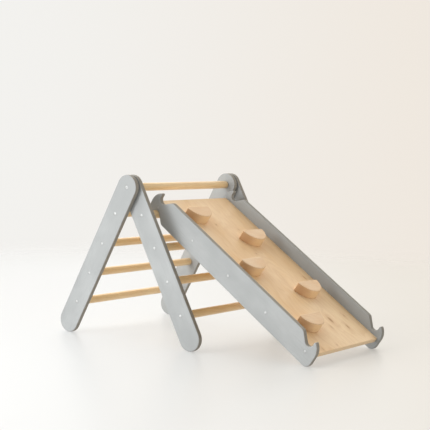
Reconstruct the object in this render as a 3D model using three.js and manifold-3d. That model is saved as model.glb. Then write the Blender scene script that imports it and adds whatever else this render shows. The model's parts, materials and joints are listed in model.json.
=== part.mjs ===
// A folding wooden climbing frame with a hook-on, reversible climbing ramp.
//
// Millimetres, +Z up. The ramp comes down towards +X, the rungs run along Y, and the origin is on the
// floor under the middle of the whole outline.
//
// Two identical ladders share one pivot at their tops. Each has an outer leg at its local -Y end and an
// inner leg at its local +Y end, so one ladder turned half round about Z laps over the other. The ramp
// hangs by its lower hooks on the first rung of the ramp ladder, and its foot rests on the floor.

import * as THREE from 'three';
import { mergeVertices } from 'three/addons/utils/BufferGeometryUtils.js';
import Module from 'manifold-3d';

const wasm = await Module();
wasm.setup();

// ---------------------------------------------------------------- driving dimensions

const PLY = 18; // thickness of every painted board
const CLEARANCE = 0.3; // between pieces that touch
const EDGE_ROUND = 2; // softened arris of the boards

const LEG_SPAN = 600; // from the pivot to the centre of the rounded foot
const LEG_RADIUS = 46; // half the width of a leg, and the radius of its two round ends
const HALF_SPREAD = THREE.MathUtils.degToRad(29.1); // lean of each ladder from upright
const CLOSED_SPREAD = THREE.MathUtils.degToRad(33.2); // angle between the ladders when folded
const FRAME_WIDTH = 632; // over the outer faces of the two outer legs
const LAP_GAP = 5; // between an outer leg and the inner leg that it laps

const RUNG_RADIUS = 15;
const RUNG_COUNT = 4; // on each ladder, besides the shared top rung
const FIRST_RUNG = 114; // from the pivot, down the leg
const RUNG_PITCH = 133;

const SCREW_HEAD_RADIUS = 5;
const SCREW_HEAD_DEPTH = 3;
const SCREW_CROWN = 0.7; // how far the middle of a head stands proud
const SCREW_SHANK_RADIUS = 2.5;
const SCREW_LENGTH = 55; // under the face that its head sits in
const BLOCK_SCREW_LENGTH = 36;

const BOLT_HEAD_RADIUS = 6.5;
const BOLT_HEAD_DEPTH = 3.5;
const BOLT_RADIUS = 3;
const BOLT_LENGTH = 78;
const SPACER_RADIUS = 18;
const INSERT_RADIUS = 5;
const INSERT_LENGTH = 20;

const STOP_PIN_RADIUS = 4;
const STOP_PIN_ORBIT = 30; // from the pivot to the pin
const STOP_PIN_SEAT = 12; // depth of the pin in the inner leg
const STOP_GROOVE_DEPTH = 9; // in the outer leg

const RAMP_WIDTH = 452; // over the side boards
const RAMP_OFFSET = 12; // along the rung, from the middle of the frame
const SIDE_LENGTH = 881;
const SIDE_HEIGHT = 100;
const PANEL_LENGTH = 856;
const PANEL_MIDDLE = 45; // of its thickness, above the side boards' lower edge
const NOTCH_RADIUS = 17; // of a hook's seat, which takes a rung
const NOTCH_INSET = 46.5; // from the end of the board to the seat's centre
const NOTCH_DROP = 16; // from the board's edge to the seat's centre
const LEAD_IN = THREE.MathUtils.degToRad(44); // slope of the edge that leads into a hook
const LEAD_IN_FILLET = 20;
const HORN_RADIUS = 53; // of the horn's outer curve
const HORN_TIP_RADIUS = 4.5;
const FOOT_RADIUS = 23; // of the lower corner that stands on the floor

const SIDE_SCREW_COUNT = 5;
const SIDE_SCREW_PITCH = 200;

const BLOCK_COUNT = 5;
const BLOCK_RADIUS = 61;
const BLOCK_HEIGHT = 36;
const BLOCK_PITCH = 154; // down the ramp
const BLOCK_OFFSET = 88; // to either side of the ramp's centre line
const BLOCK_TIP_FILLET = 8;

const HOLE_SIDES = 12;
const FASTENER_SIDES = 10;
const RUNG_SIDES = 20;

// ---------------------------------------------------------------- derived places

const OUTER_FACE = FRAME_WIDTH / 2;
const INNER_LEG_FACE = OUTER_FACE - PLY - LAP_GAP; // outward face of an inner leg
const SHORT_END = INNER_LEG_FACE - PLY; // where rungs meet an inner leg
const LONG_END = OUTER_FACE - PLY; // where rungs meet an outer leg
const PIVOT_HEIGHT = LEG_SPAN * Math.cos(HALF_SPREAD) + LEG_RADIUS;

const NOTCH_X = SIDE_LENGTH / 2 - NOTCH_INSET;
const FOOT_X = SIDE_LENGTH / 2 - FOOT_RADIUS;
const RUNG_IN_HOOK = NOTCH_DROP + NOTCH_RADIUS - RUNG_RADIUS - CLEARANCE; // above the board's lower edge
const PANEL_BOTTOM = PANEL_MIDDLE - PLY / 2;
const PANEL_TOP = PANEL_BOTTOM + PLY;
const PANEL_WIDTH = RAMP_WIDTH - 2 * (PLY + CLEARANCE);

// The ramp's slope puts its hooks over the first rung and its foot on the floor.
const hookRungX = FIRST_RUNG * Math.sin(HALF_SPREAD);
const hookRungZ = PIVOT_HEIGHT - FIRST_RUNG * Math.cos(HALF_SPREAD);
const footToRungAlong = FOOT_X + NOTCH_X;
const footToRungUp = RUNG_IN_HOOK - FOOT_RADIUS;
const SLOPE = Math.asin((hookRungZ - FOOT_RADIUS) / Math.hypot(footToRungAlong, footToRungUp))
  - Math.atan2(footToRungUp, footToRungAlong);
const rampX = hookRungX + NOTCH_X * Math.cos(SLOPE) - RUNG_IN_HOOK * Math.sin(SLOPE);
const rampZ = hookRungZ - NOTCH_X * Math.sin(SLOPE) - RUNG_IN_HOOK * Math.cos(SLOPE);

// The origin lies under the middle of the outline from the back feet to the ramp's lower horns.
const hornCentreX = SIDE_LENGTH / 2 - HORN_RADIUS;
const hornCentreZ = HORN_RADIUS;
const backReach = -(LEG_SPAN * Math.sin(HALF_SPREAD) + LEG_RADIUS);
const frontReach = rampX + hornCentreX * Math.cos(SLOPE) + hornCentreZ * Math.sin(SLOPE) + HORN_RADIUS;
const ORIGIN_SHIFT = -(backReach + frontReach) / 2;

// ---------------------------------------------------------------- materials

const paint = { color: 0xc4c7c8, roughness: 0.55, metalness: 0 };
const rungWood = { color: 0xd8ac74, roughness: 0.5, metalness: 0 };
const panelWood = { color: 0xdcbe94, roughness: 0.5, metalness: 0 };
const blockWood = { color: 0xd2ab7a, roughness: 0.5, metalness: 0 };
const zincSteel = { color: 0xdcdcd8, roughness: 0.3, metalness: 0.9 };
const brass = { color: 0xb8964c, roughness: 0.35, metalness: 0.9 };
const nylon = { color: 0x50504e, roughness: 0.6, metalness: 0 };

function piece(name, geometry, look) {
  const mesh = new THREE.Mesh(geometry, new THREE.MeshStandardMaterial(look));
  mesh.name = name;
  return mesh;
}

// ---------------------------------------------------------------- solids

function merged(geometry) {
  const bare = geometry.clone();
  bare.deleteAttribute('normal');
  bare.deleteAttribute('uv');
  return mergeVertices(bare, 1e-4);
}

function toSolid(geometry) {
  const shared = merged(geometry);
  return new wasm.Manifold(new wasm.Mesh({
    numProp: 3,
    vertProperties: new Float32Array(shared.attributes.position.array),
    triVerts: new Uint32Array(shared.index.array),
  }));
}

// Cuts every cutter out of the body, and gives back flat-shaded geometry.
function cut(body, cutters) {
  let solid = toSolid(body);
  for (const cutter of cutters) {
    solid = solid.subtract(toSolid(cutter));
  }
  const mesh = solid.getMesh();
  const result = new THREE.BufferGeometry();
  result.setAttribute('position', new THREE.BufferAttribute(new Float32Array(mesh.vertProperties), 3));
  result.setIndex(new THREE.BufferAttribute(new Uint32Array(mesh.triVerts), 1));
  const flat = result.toNonIndexed();
  flat.computeVertexNormals();
  return flat;
}

// A board whose outline lies in the XZ plane, from y = fromY to y = fromY + thickness.
function board(outline, thickness, fromY, edgeRound) {
  const geometry = new THREE.ExtrudeGeometry(outline, {
    depth: thickness - 2 * edgeRound,
    bevelEnabled: edgeRound > 0,
    bevelThickness: edgeRound,
    bevelSize: edgeRound,
    bevelOffset: -edgeRound,
    bevelSegments: 1,
    curveSegments: 9,
  });
  geometry.rotateX(Math.PI / 2);
  geometry.translate(0, fromY + thickness - edgeRound, 0);
  return geometry;
}

// A turned piece along Y. The profile holds [radius, y] pairs and starts and ends on the axis.
function turned(profile, segments) {
  return new THREE.LatheGeometry(profile.map(([radius, y]) => new THREE.Vector2(radius, y)), segments);
}

// A round cutter along Y. Its flats, not its corners, are at the radius.
function hole(x, z, radius, fromY, toY) {
  const cornerRadius = radius / Math.cos(Math.PI / HOLE_SIDES);
  const geometry = new THREE.CylinderGeometry(cornerRadius, cornerRadius, toY - fromY, HOLE_SIDES);
  geometry.translate(x, (fromY + toY) / 2, z);
  return geometry;
}

// The hole and the counterbore of one fastener, in a board whose outward face is at faceY.
// inward is +1 where the fastener points to +Y, and -1 where it points to -Y.
function fastenerHoles(x, z, faceY, inward, headRadius, headDepth, shankRadius) {
  const ends = (a, b) => [Math.min(a, b), Math.max(a, b)];
  const overshoot = 1;
  const shank = ends(faceY - inward * overshoot, faceY + inward * (PLY + overshoot));
  const head = ends(faceY - inward * overshoot, faceY + inward * (headDepth + CLEARANCE));
  return [
    hole(x, z, shankRadius + CLEARANCE, ...shank),
    hole(x, z, headRadius + CLEARANCE, ...head),
  ];
}

function screwHoles(x, z, faceY, inward) {
  return fastenerHoles(x, z, faceY, inward, SCREW_HEAD_RADIUS, SCREW_HEAD_DEPTH, SCREW_SHANK_RADIUS);
}

// ---------------------------------------------------------------- fasteners

// A flat-headed screw or bolt. Its head's face is at y = 0 and it points along +Y.
function headedFastener(headRadius, headDepth, shankRadius, length) {
  return turned([
    [0, -SCREW_CROWN],
    [headRadius, 0],
    [headRadius, headDepth],
    [shankRadius, headDepth],
    [shankRadius, length - 2 * shankRadius],
    [0, length],
  ], FASTENER_SIDES);
}

function placeAlongY(mesh, x, y, z, inward) {
  mesh.position.set(x, y, z);
  mesh.rotation.z = inward > 0 ? 0 : Math.PI;
  return mesh;
}

function screw(name, x, faceY, z, inward) {
  const shape = headedFastener(SCREW_HEAD_RADIUS, SCREW_HEAD_DEPTH, SCREW_SHANK_RADIUS, SCREW_LENGTH);
  return placeAlongY(piece(name, shape, zincSteel), x, faceY, z, inward);
}

// ---------------------------------------------------------------- ladders

// A leg hangs from the pivot at (0, 0) down to its rounded foot.
function legOutline() {
  const outline = new THREE.Shape();
  outline.moveTo(LEG_RADIUS, -LEG_SPAN);
  outline.lineTo(LEG_RADIUS, 0);
  outline.absarc(0, 0, LEG_RADIUS, 0, Math.PI, false);
  outline.lineTo(-LEG_RADIUS, -LEG_SPAN);
  outline.absarc(0, -LEG_SPAN, LEG_RADIUS, Math.PI, 2 * Math.PI, false);
  return outline;
}

function rungDepth(index) {
  return -(FIRST_RUNG + index * RUNG_PITCH);
}

// The curved groove in an outer leg's inward face, along which the other ladder's stop pin runs.
function stopGroove() {
  const half = STOP_PIN_RADIUS + CLEARANCE;
  const slack = CLEARANCE / STOP_PIN_ORBIT;
  const start = CLOSED_SPREAD - Math.PI / 2 - slack;
  const end = 2 * HALF_SPREAD - Math.PI / 2 + slack;
  const orbitPoint = (angle) => [STOP_PIN_ORBIT * Math.cos(angle), STOP_PIN_ORBIT * Math.sin(angle)];
  const outline = new THREE.Shape();
  outline.absarc(0, 0, STOP_PIN_ORBIT + half, start, end, false);
  outline.absarc(...orbitPoint(end), half, end, end + Math.PI, false);
  outline.absarc(0, 0, STOP_PIN_ORBIT - half, end, start, true);
  outline.absarc(...orbitPoint(start), half, start + Math.PI, start + 2 * Math.PI, false);
  return board(outline, STOP_GROOVE_DEPTH + 1, -LONG_END - STOP_GROOVE_DEPTH, 0);
}

function outerLeg() {
  const cutters = [stopGroove()];
  cutters.push(...fastenerHoles(0, 0, -OUTER_FACE, 1, BOLT_HEAD_RADIUS, BOLT_HEAD_DEPTH, BOLT_RADIUS));
  for (let i = 0; i < RUNG_COUNT; i += 1) {
    cutters.push(...screwHoles(0, rungDepth(i), -OUTER_FACE, 1));
  }
  return cut(board(legOutline(), PLY, -OUTER_FACE, EDGE_ROUND), cutters);
}

function innerLeg() {
  const pinHole = hole(0, -STOP_PIN_ORBIT, STOP_PIN_RADIUS + CLEARANCE,
    INNER_LEG_FACE - STOP_PIN_SEAT - CLEARANCE, INNER_LEG_FACE + 1);
  const cutters = [pinHole, hole(0, 0, BOLT_RADIUS + CLEARANCE, SHORT_END - 1, INNER_LEG_FACE + 1)];
  for (let i = 0; i < RUNG_COUNT; i += 1) {
    cutters.push(...screwHoles(0, rungDepth(i), INNER_LEG_FACE, -1));
  }
  return cut(board(legOutline(), PLY, SHORT_END, EDGE_ROUND), cutters);
}

// A dowel from y = fromY to y = toY, with a pilot hole up each end for its screws.
function rung(fromY, toY) {
  const pilot = SCREW_SHANK_RADIUS + CLEARANCE;
  const pilotDepth = SCREW_LENGTH - PLY + 2;
  const low = fromY + CLEARANCE;
  const high = toY - CLEARANCE;
  return turned([
    [0, low + pilotDepth],
    [pilot, low + pilotDepth],
    [pilot, low],
    [RUNG_RADIUS, low],
    [RUNG_RADIUS, high],
    [pilot, high],
    [pilot, high - pilotDepth],
    [0, high - pilotDepth],
  ], RUNG_SIDES);
}

function ladder(name) {
  const group = new THREE.Group();
  group.add(piece(`${name}_outer_leg`, outerLeg(), paint));
  group.add(piece(`${name}_inner_leg`, innerLeg(), paint));
  for (let i = 0; i < RUNG_COUNT; i += 1) {
    const depth = rungDepth(i);
    const dowel = piece(`${name}_rung_${i + 1}`, rung(-LONG_END, SHORT_END), rungWood);
    dowel.position.z = depth;
    group.add(dowel);
    group.add(screw(`${name}_outer_screw_${i + 1}`, 0, -OUTER_FACE, depth, 1));
    group.add(screw(`${name}_inner_screw_${i + 1}`, 0, INNER_LEG_FACE, depth, -1));
  }
  const pinStart = INNER_LEG_FACE - STOP_PIN_SEAT;
  const pinEnd = LONG_END + STOP_GROOVE_DEPTH - 1;
  const pinShape = new THREE.CylinderGeometry(STOP_PIN_RADIUS, STOP_PIN_RADIUS, pinEnd - pinStart,
    FASTENER_SIDES);
  const pin = piece(`${name}_stop_pin`, pinShape, zincSteel);
  pin.position.set(0, (pinStart + pinEnd) / 2, -STOP_PIN_ORBIT);
  group.add(pin);
  return group;
}

// ---------------------------------------------------------------- pivot

// The top rung joins the two inner legs. Each end is bored for a threaded insert and a pivot bolt.
function topRung() {
  const end = SHORT_END - CLEARANCE;
  const boltBore = BOLT_RADIUS + CLEARANCE;
  const insertBore = INSERT_RADIUS + CLEARANCE;
  const insertDepth = INSERT_LENGTH + CLEARANCE;
  const boltDepth = BOLT_LENGTH - (OUTER_FACE - SHORT_END) + 2;
  const half = [
    [0, end - boltDepth],
    [boltBore, end - boltDepth],
    [boltBore, end - insertDepth],
    [insertBore, end - insertDepth],
    [insertBore, end],
    [RUNG_RADIUS, end],
  ];
  const mirrored = half.map(([radius, y]) => [radius, -y]);
  return turned([...mirrored, ...half.reverse()], RUNG_SIDES);
}

// A sleeve along Y with its middle at the origin.
function sleeve(outerRadius, innerRadius, length) {
  const half = length / 2;
  return turned([
    [innerRadius, -half],
    [outerRadius, -half],
    [outerRadius, half],
    [innerRadius, half],
    [innerRadius, -half],
  ], HOLE_SIDES);
}

function pivot() {
  const group = new THREE.Group();
  group.add(piece('top_rung', topRung(), rungWood));
  const sides = [
    { side: 'near', inward: 1 },
    { side: 'far', inward: -1 },
  ];
  for (const { side, inward } of sides) {
    const boltShape = headedFastener(BOLT_HEAD_RADIUS, BOLT_HEAD_DEPTH, BOLT_RADIUS, BOLT_LENGTH);
    const bolt = piece(`${side}_pivot_bolt`, boltShape, zincSteel);
    group.add(placeAlongY(bolt, 0, -inward * OUTER_FACE, 0, inward));

    const bore = BOLT_RADIUS + CLEARANCE;
    const spacer = piece(`${side}_pivot_spacer`, sleeve(SPACER_RADIUS, bore, LAP_GAP - 2 * CLEARANCE), nylon);
    spacer.position.y = -inward * (INNER_LEG_FACE + LAP_GAP / 2);
    group.add(spacer);

    const insertShape = sleeve(INSERT_RADIUS, bore, INSERT_LENGTH - CLEARANCE);
    const insert = piece(`${side}_threaded_insert`, insertShape, brass);
    insert.position.y = -inward * (SHORT_END - CLEARANCE - INSERT_LENGTH / 2);
    group.add(insert);
  }
  return group;
}

// ---------------------------------------------------------------- ramp

// The hook at the upper edge of a side board's +X end, from where the edge leaves the straight to where
// the horn's outer curve meets the end of the board.
function hookPoints() {
  const seatZ = SIDE_HEIGHT - NOTCH_DROP;
  const leadInAngle = 1.5 * Math.PI - LEAD_IN;
  const seatStartX = NOTCH_X + NOTCH_RADIUS * Math.cos(leadInAngle);
  const seatStartZ = seatZ + NOTCH_RADIUS * Math.sin(leadInAngle);
  const cornerX = seatStartX - (SIDE_HEIGHT - seatStartZ) / Math.tan(LEAD_IN);
  const filletX = cornerX - LEAD_IN_FILLET * Math.tan(LEAD_IN / 2);
  const tipX = NOTCH_X + NOTCH_RADIUS + HORN_TIP_RADIUS;
  const tipReach = HORN_RADIUS - HORN_TIP_RADIUS;
  const tipZ = hornCentreZ + Math.sqrt(tipReach ** 2 - (tipX - hornCentreX) ** 2);
  const tipAngle = Math.atan2(tipZ - hornCentreZ, tipX - hornCentreX);

  const edge = new THREE.Path();
  edge.absarc(filletX, SIDE_HEIGHT - LEAD_IN_FILLET, LEAD_IN_FILLET, Math.PI / 2, Math.PI / 2 - LEAD_IN, true);
  edge.absarc(NOTCH_X, seatZ, NOTCH_RADIUS, leadInAngle, 2 * Math.PI, false);
  edge.absarc(tipX, tipZ, HORN_TIP_RADIUS, Math.PI, tipAngle, true);
  edge.absarc(hornCentreX, hornCentreZ, HORN_RADIUS, tipAngle, 0, true);
  return edge.getPoints(4);
}

// The lower end has a hook on its upper edge only, and the upper end has one on both edges.
function sideOutline() {
  const hook = hookPoints();
  const upperTop = hook.map((p) => new THREE.Vector2(-p.x, p.y)).reverse();
  const upperBottom = hook.map((p) => new THREE.Vector2(-p.x, SIDE_HEIGHT - p.y));
  const foot = new THREE.Path();
  foot.absarc(FOOT_X, FOOT_RADIUS, FOOT_RADIUS, 0, -Math.PI / 2, true);
  return new THREE.Shape([...upperTop, ...hook, ...foot.getPoints(3), ...upperBottom]);
}

function sideScrewX(index) {
  return (index - (SIDE_SCREW_COUNT - 1) / 2) * SIDE_SCREW_PITCH;
}

// The outward face is at -RAMP_WIDTH / 2 for facing = 1, and at +RAMP_WIDTH / 2 for facing = -1.
function sideBoard(facing) {
  const faceY = -facing * RAMP_WIDTH / 2;
  const fromY = facing > 0 ? faceY : faceY - PLY;
  const cutters = [];
  for (let i = 0; i < SIDE_SCREW_COUNT; i += 1) {
    cutters.push(...screwHoles(sideScrewX(i), PANEL_MIDDLE, faceY, facing));
  }
  return cut(board(sideOutline(), PLY, fromY, EDGE_ROUND), cutters);
}

function blockX(index) {
  return (index - (BLOCK_COUNT - 1) / 2) * BLOCK_PITCH;
}

// Blocks stand on alternate sides of the centre line, the first of them on the -Y side.
function blockY(index) {
  return index % 2 === 0 ? -BLOCK_OFFSET : BLOCK_OFFSET;
}

// A screw from the panel's underside up into its block, with its head's face at z = 0.
function blockScrewShape(gap) {
  const headDepth = SCREW_HEAD_DEPTH + gap;
  return headedFastener(SCREW_HEAD_RADIUS - 1 + gap, headDepth, SCREW_SHANK_RADIUS - 0.5 + gap,
    BLOCK_SCREW_LENGTH + gap).rotateX(Math.PI / 2);
}

function panel() {
  const outline = new THREE.Shape();
  outline.moveTo(-PANEL_LENGTH / 2, PANEL_BOTTOM);
  outline.lineTo(PANEL_LENGTH / 2, PANEL_BOTTOM);
  outline.lineTo(PANEL_LENGTH / 2, PANEL_TOP);
  outline.lineTo(-PANEL_LENGTH / 2, PANEL_TOP);
  const halfWidth = PANEL_WIDTH / 2;
  const pilot = SCREW_SHANK_RADIUS + CLEARANCE;
  const pilotEnd = RAMP_WIDTH / 2 - SCREW_LENGTH - 2;
  const cutters = [];
  for (let i = 0; i < SIDE_SCREW_COUNT; i += 1) {
    cutters.push(hole(sideScrewX(i), PANEL_MIDDLE, pilot, -halfWidth - 1, -pilotEnd));
    cutters.push(hole(sideScrewX(i), PANEL_MIDDLE, pilot, pilotEnd, halfWidth + 1));
  }
  for (let i = 0; i < BLOCK_COUNT; i += 1) {
    cutters.push(blockScrewShape(CLEARANCE).translate(blockX(i), blockY(i), PANEL_BOTTOM));
  }
  return cut(board(outline, PANEL_WIDTH, -halfWidth, 0), cutters);
}

// A half disc with its flat edge up the slope, its round edge down the slope and softened tips.
function blockOutline() {
  const tipY = Math.sqrt((BLOCK_RADIUS - BLOCK_TIP_FILLET) ** 2 - BLOCK_TIP_FILLET ** 2);
  const tipAngle = Math.atan2(tipY, BLOCK_TIP_FILLET);
  const outline = new THREE.Shape();
  outline.absarc(BLOCK_TIP_FILLET, -tipY, BLOCK_TIP_FILLET, Math.PI, 2 * Math.PI - tipAngle, false);
  outline.absarc(0, 0, BLOCK_RADIUS, -tipAngle, tipAngle, false);
  outline.absarc(BLOCK_TIP_FILLET, tipY, BLOCK_TIP_FILLET, tipAngle, Math.PI, false);
  return outline;
}

// The block's underside is at z = 0, and its own screw goes up through x = 0, y = 0.
function block() {
  const geometry = new THREE.ExtrudeGeometry(blockOutline(), {
    depth: BLOCK_HEIGHT - 2 * EDGE_ROUND,
    bevelThickness: EDGE_ROUND,
    bevelSize: EDGE_ROUND,
    bevelOffset: -EDGE_ROUND,
    bevelSegments: 1,
    curveSegments: 6,
  });
  geometry.translate(-BLOCK_RADIUS / 2, 0, EDGE_ROUND);
  const screwTip = PANEL_BOTTOM - PANEL_TOP - CLEARANCE;
  return cut(geometry, [blockScrewShape(CLEARANCE).translate(0, 0, screwTip)]);
}

function ramp() {
  const group = new THREE.Group();
  group.add(piece('ramp_near_side', sideBoard(1), paint));
  group.add(piece('ramp_far_side', sideBoard(-1), paint));
  group.add(piece('ramp_panel', panel(), panelWood));
  for (let i = 0; i < SIDE_SCREW_COUNT; i += 1) {
    const x = sideScrewX(i);
    group.add(screw(`ramp_near_screw_${i + 1}`, x, -RAMP_WIDTH / 2, PANEL_MIDDLE, 1));
    group.add(screw(`ramp_far_screw_${i + 1}`, x, RAMP_WIDTH / 2, PANEL_MIDDLE, -1));
  }
  for (let i = 0; i < BLOCK_COUNT; i += 1) {
    const stone = piece(`climbing_block_${i + 1}`, block(), blockWood);
    stone.position.set(blockX(i), blockY(i), PANEL_TOP + CLEARANCE);
    group.add(stone);
    const fixing = piece(`block_screw_${i + 1}`, blockScrewShape(0), zincSteel);
    fixing.position.set(blockX(i), blockY(i), PANEL_BOTTOM);
    group.add(fixing);
  }
  return group;
}

// ---------------------------------------------------------------- assembly

const frame = new THREE.Group();
frame.position.set(ORIGIN_SHIFT, 0, PIVOT_HEIGHT);

const backLadder = ladder('back_ladder');
backLadder.rotation.y = HALF_SPREAD;
frame.add(backLadder);

const rampLadder = ladder('ramp_ladder');
rampLadder.rotation.order = 'ZYX';
rampLadder.rotation.set(0, HALF_SPREAD, Math.PI);
frame.add(rampLadder);

frame.add(pivot());

const rampGroup = ramp();
rampGroup.position.set(ORIGIN_SHIFT + rampX, RAMP_OFFSET, rampZ);
rampGroup.rotation.y = SLOPE;

const climbingFrame = new THREE.Group();
climbingFrame.add(frame, rampGroup);

export default climbingFrame;
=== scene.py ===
"""Looks of a folding wooden climbing frame with a hook-on climbing ramp.

Metres, +Z up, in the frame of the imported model. Each visible CAD node is replaced by a finer piece of
the same size, with rounded rims, real counterbores and procedural paint, wood or metal.
"""

import json
import math

import bmesh
import bpy
from mathutils import Matrix, Vector


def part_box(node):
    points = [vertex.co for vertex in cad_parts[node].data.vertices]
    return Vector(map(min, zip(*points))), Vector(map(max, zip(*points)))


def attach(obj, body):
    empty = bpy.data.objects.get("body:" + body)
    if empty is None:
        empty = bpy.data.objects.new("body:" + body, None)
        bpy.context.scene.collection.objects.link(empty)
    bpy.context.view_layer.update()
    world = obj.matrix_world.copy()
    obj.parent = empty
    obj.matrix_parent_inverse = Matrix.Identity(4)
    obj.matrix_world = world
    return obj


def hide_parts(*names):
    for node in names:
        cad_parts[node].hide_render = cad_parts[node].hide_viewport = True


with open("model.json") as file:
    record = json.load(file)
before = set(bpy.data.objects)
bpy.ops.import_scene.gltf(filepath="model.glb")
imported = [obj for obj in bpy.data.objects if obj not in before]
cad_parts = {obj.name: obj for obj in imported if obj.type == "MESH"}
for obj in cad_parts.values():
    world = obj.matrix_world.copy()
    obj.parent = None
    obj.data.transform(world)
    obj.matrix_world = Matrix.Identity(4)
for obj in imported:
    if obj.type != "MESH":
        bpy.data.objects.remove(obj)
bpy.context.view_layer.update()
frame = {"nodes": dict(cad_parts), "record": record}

MM = 0.001

# ---------------------------------------------------------------- sizes that the frame doesn't name

RIM = 2.2 * MM  # rounding of a board's rims
RIM_STEPS = 4
PANEL_RIM = 0.8 * MM
BLOCK_RIM = 3 * MM
DOWEL_RIM = 1 * MM
CLEARANCE = 0.3 * MM

HEAD_RADIUS = 5 * MM  # wood screws
HEAD_DEPTH = 3 * MM
SHANK_RADIUS = 2.5 * MM
BLOCK_HEAD_RADIUS = 4 * MM  # the smaller screws under the blocks
BLOCK_SHANK_RADIUS = 2 * MM
BOLT_HEAD_RADIUS = 6.5 * MM
BOLT_HEAD_DEPTH = 3.5 * MM
BOLT_RADIUS = 3 * MM
CROWN = 0.7 * MM

RUNG_BORE_DEPTH = 39 * MM  # in the end of a rung
INSERT_RADIUS = 5 * MM
INSERT_LENGTH = 20 * MM
BLOCK_PILOT_DEPTH = 15 * MM
BLOCK_PILOT_POINT = 19 * MM

GROOVE_DEPTH = 9 * MM
NOTCH_RADIUS = 17 * MM  # a hook's seat
NOTCH_INSET = 46.5 * MM
NOTCH_DROP = 16 * MM
LEAD_IN = math.radians(44)
LEAD_IN_FILLET = 20 * MM
HORN_RADIUS = 53 * MM
HORN_TIP_RADIUS = 4.5 * MM
FOOT_RADIUS = 23 * MM
BLOCK_TIP_FILLET = 8 * MM

VENEER = 1.4 * MM  # one layer of the plywood

# ---------------------------------------------------------------- what the frame says

record = frame["record"]
BODY_OF = {node: body for body, nodes in record["behaviour"]["bodies"].items() for node in nodes}
SLOT_OF = {part["node"]: part["material_slot"] for part in record["subparts"]}
JOINTS = {joint["name"]: joint for joint in record["behaviour"]["joints"]}
FOLD = math.radians(JOINTS["frame_fold"]["range_deg"][1])


def middle(node):
    """The middle of a CAD node's box."""
    low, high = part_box(node)
    return (low + high) / 2


def depth_range(node):
    """A CAD node's lowest and highest Y."""
    low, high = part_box(node)
    return low.y, high.y


def numbered(stem):
    """The CAD nodes named stem_1, stem_2 and so on, in order."""
    return sorted(node for node in BODY_OF if node.rpartition("_")[0] == stem)


PIVOT = middle("top_rung")
SHARED_MESH = [node for node in BODY_OF if SLOT_OF[node] == "zinc_steel"]
RUNG_RADIUS = (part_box("top_rung")[1].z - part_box("top_rung")[0].z) / 2


def ladder_matrix(ladder):
    """A ladder's own frame: the pivot is its origin and its legs hang along -Z."""
    down = middle(ladder + "_rung_4") - PIVOT
    return Matrix.Translation(PIVOT) @ Matrix.Rotation(math.atan2(-down.x, -down.z), 4, "Y")


def ramp_matrix():
    """The ramp's own frame: +X down the slope, the origin on the line of the side screws."""
    screws = numbered("ramp_near_screw")
    along = middle(screws[-1]) - middle(screws[0])
    centre = (middle("ramp_near_side") + middle("ramp_far_side")) / 2
    heads = (middle(screws[0]) + middle(screws[-1])) / 2
    origin = Vector((heads.x, centre.y, heads.z))
    return Matrix.Translation(origin) @ Matrix.Rotation(math.atan2(-along.z, along.x), 4, "Y")


def local_box(node, matrix):
    """The corners of a CAD node's box in another frame."""
    back = matrix.inverted()
    points = [back @ vertex.co for vertex in frame["nodes"][node].data.vertices]
    low = Vector(min(p[i] for p in points) for i in range(3))
    high = Vector(max(p[i] for p in points) for i in range(3))
    return low, high


# ---------------------------------------------------------------- mesh building


def arc(centre_x, centre_y, radius, start, end, steps):
    """Points on an arc, both ends included. Angles are in radians."""
    angles = [start + (end - start) * i / steps for i in range(steps + 1)]
    return [(centre_x + radius * math.cos(a), centre_y + radius * math.sin(a)) for a in angles]


def without_doubles(outline):
    """The outline without points that lie on the one before them."""
    kept = []
    for point in outline:
        if not kept or math.dist(point, kept[-1]) > 1e-6:
            kept.append(point)
    if math.dist(kept[0], kept[-1]) < 1e-6:
        kept.pop()
    return kept


def inset_directions(outline):
    """For each point of a counter-clockwise outline, how it moves when the outline shrinks by one unit."""
    directions = []
    for i, (x, y) in enumerate(outline):
        before, after = outline[i - 1], outline[(i + 1) % len(outline)]
        first = Vector((before[1] - y, x - before[0])).normalized()
        second = Vector((y - after[1], after[0] - x)).normalized()
        directions.append((first + second) / (1 + first.dot(second)))
    return directions


def slab(outline, thickness, low_rim, high_rim):
    """A bmesh plate on a counter-clockwise outline in XY, from z = 0 up, with its two rims rounded."""
    outline = without_doubles(outline)
    inward = inset_directions(outline)
    levels = []
    for rim, side in ((low_rim, 0), (high_rim, 1)):
        steps = RIM_STEPS if rim else 0
        for k in range(steps + 1):
            turn = math.pi / 2 * (k / steps if steps else 1)
            turn = math.pi / 2 - turn if side else turn
            inset = rim * (1 - math.sin(turn))
            height = rim * (1 - math.cos(turn))
            levels.append((inset, thickness - height if side else height))
    bm = bmesh.new()
    rings = []
    for inset, height in levels:
        ring = [
            bm.verts.new((x + d.x * inset, y + d.y * inset, height))
            for (x, y), d in zip(outline, inward)
        ]
        rings.append(ring)
    count = len(outline)
    for low, high in zip(rings, rings[1:]):
        for i in range(count):
            j = (i + 1) % count
            bm.faces.new((low[i], low[j], high[j], high[i])).smooth = True
    bm.faces.new(reversed(rings[0]))
    bm.faces.new(rings[-1])
    return bm


def lathe(profile, segments, closed=False):
    """A bmesh turned about Y from [radius, y] pairs, which start and end on the axis or are closed."""
    bm = bmesh.new()
    rings = []
    for radius, y in profile:
        if radius < 1e-9:
            rings.append([bm.verts.new((0, y, 0))])
            continue
        angles = [2 * math.pi * i / segments for i in range(segments)]
        rings.append([bm.verts.new((radius * math.sin(a), y, radius * math.cos(a))) for a in angles])
    pairs = list(zip(rings, rings[1:]))
    if closed:
        pairs.append((rings[-1], rings[0]))
    for low, high in pairs:
        for i in range(segments):
            j = (i + 1) % segments
            corners = [low[i % len(low)], low[j % len(low)], high[j % len(high)], high[i % len(high)]]
            bm.faces.new(list(dict.fromkeys(corners))).smooth = True
    bmesh.ops.recalc_face_normals(bm, faces=bm.faces)
    return bm


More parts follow.
